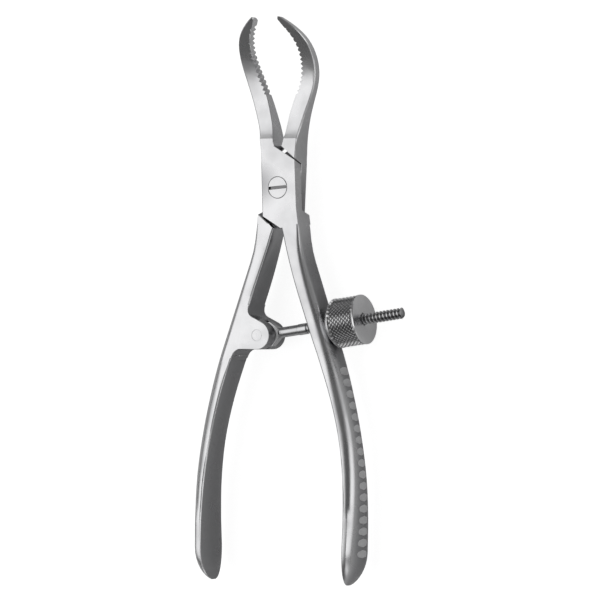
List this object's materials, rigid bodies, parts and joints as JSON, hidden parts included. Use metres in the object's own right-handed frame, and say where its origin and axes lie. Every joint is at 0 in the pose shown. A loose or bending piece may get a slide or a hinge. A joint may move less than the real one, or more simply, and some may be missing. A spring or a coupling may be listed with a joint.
{
  "type": "bone reduction forceps",
  "caption": "Curved bone reduction forceps: crossed levers on a slotted joint screw, toothed jaws, and a swivelling threaded spindle with a knurled nut that locks the handles.",
  "frame": {"origin": "where the axis of the lap joint meets the flat back face of the joint, at the ground end of the joint screw", "axes": "+X across the handles, from the forked one to the one that the nut bears on; +Y along the instrument to the jaws; +Z out of the joint's front face, the way the jaws curve"},
  "size_m": [0.0823, 0.1993, 0.0233],
  "materials": {
    "lever_steel": "satin polished stainless steel",
    "screw_steel": "ground and polished stainless steel",
    "spindle_steel": "turned stainless steel, bright",
    "nut_steel": "knurled stainless steel, bright edges"
  },
  "bodies": {
    "rear_lever": {"rear_lever": "lever_steel", "joint_screw": "screw_steel", "swivel_pin": "lever_steel"},
    "front_lever": {"front_lever": "lever_steel"},
    "spindle": {"spindle": "spindle_steel"},
    "thrust_washer": {"thrust_washer": "spindle_steel"},
    "knurled_nut": {"knurled_nut": "nut_steel"}
  },
  "joints": [
    {"name": "jaw_pivot", "type": "hinge", "parent": "rear_lever", "child": "front_lever", "pos_m": [0, 0, 0], "axis": [0, 0, 1], "range_deg": [-9, 4]},
    {"name": "spindle_swivel", "type": "hinge", "parent": "rear_lever", "child": "spindle", "pos_m": [-0.0072, -0.0523, 0.0045], "axis": [0, 0, 1], "range_deg": [-4.85, 2.2]},
    {"name": "nut_travel", "type": "slide", "parent": "spindle", "child": "thrust_washer", "axis": [0.9888, 0.1495, 0], "range_m": [-0.008, 0.0036]},
    {"name": "nut_spin", "type": "hinge", "parent": "thrust_washer", "child": "knurled_nut", "pos_m": [0.02444, -0.04752, 0.0045], "axis": [0.9888, 0.1495, 0], "range_deg": [-2046, 910]}
  ],
  "couplings": [
    {"joint": "spindle_swivel", "follows": "jaw_pivot", "ratio": 0.53313},
    {"joint": "nut_travel", "follows": "jaw_pivot", "m_per_rad": 0.050635},
    {"joint": "nut_spin", "follows": "jaw_pivot", "ratio": 227.25}
  ]
}
